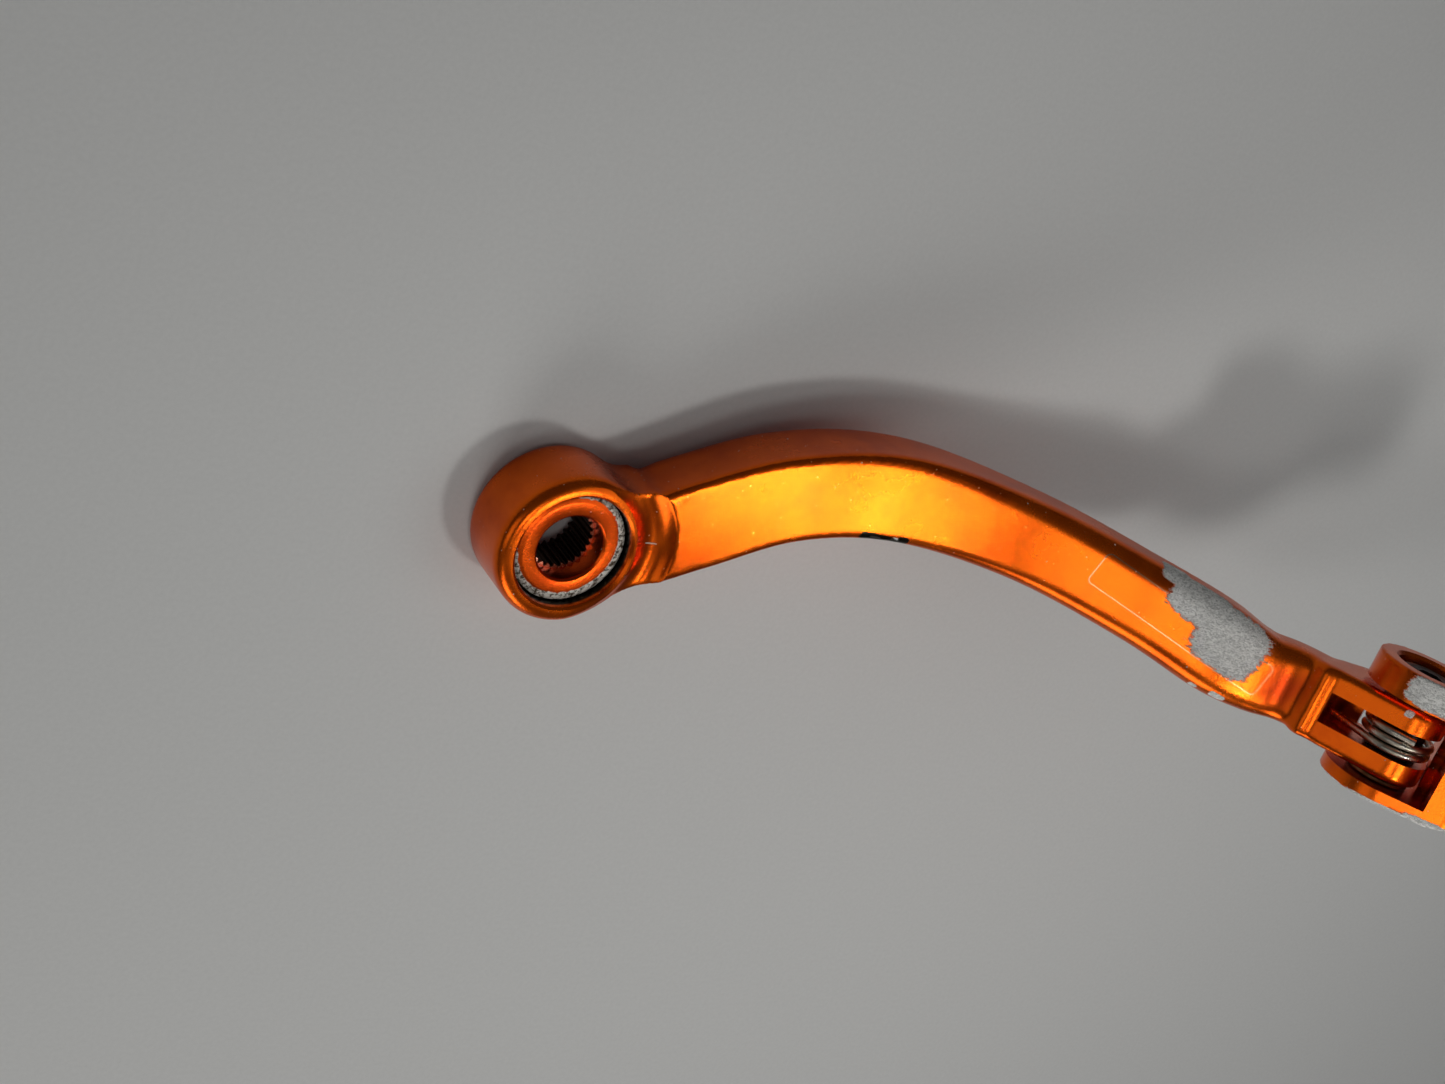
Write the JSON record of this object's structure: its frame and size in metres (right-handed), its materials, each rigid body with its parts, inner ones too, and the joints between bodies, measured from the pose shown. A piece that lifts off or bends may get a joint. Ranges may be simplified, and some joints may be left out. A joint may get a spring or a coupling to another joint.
{
  "type": "splined kick lever with folding foot peg",
  "caption": "Curved orange lever with a splined eye for a shaft and, in a fork at its far end, a sprung foot peg that folds.",
  "frame": {"origin": "on the shaft's axis, in the plane of the eye's inboard face", "axes": "+Z along the shaft, outboard; +X from the eye towards the fork, in the plane of the eye; +Y to the side that the arm bows towards"},
  "size_m": [0.2503, 0.054, 0.1391],
  "materials": {
    "orange_anodised": "satin translucent orange anodising over forged aluminium, bare where rubbed",
    "bush_anodised": "satin red-orange anodising, bare on its worn chamfer",
    "black_steel": "blackened steel, oily",
    "spring_steel": "drawn spring wire, bright",
    "bronze": "sintered bronze"
  },
  "bodies": {
    "lever": {"lever": "orange_anodised", "spline_bush": "bush_anodised", "fork_bush_upper": "bronze", "fork_bush_lower": "bronze", "spring_sleeve": "black_steel", "fold_spring": "spring_steel"},
    "peg": {"peg": "orange_anodised", "pivot_pin": "black_steel", "pin_clip": "spring_steel"}
  },
  "joints": [
    {"name": "peg_fold", "type": "hinge", "parent": "lever", "child": "peg", "pos_m": [0.1887, 0.0107, 0.0908], "axis": [-0.0877, -0.9945, 0.0569], "range_deg": [0, 90], "stiffness_Nm_per_rad": 0.12, "springref_deg": -45.84, "deforming": ["fold_spring"]}
  ]
}
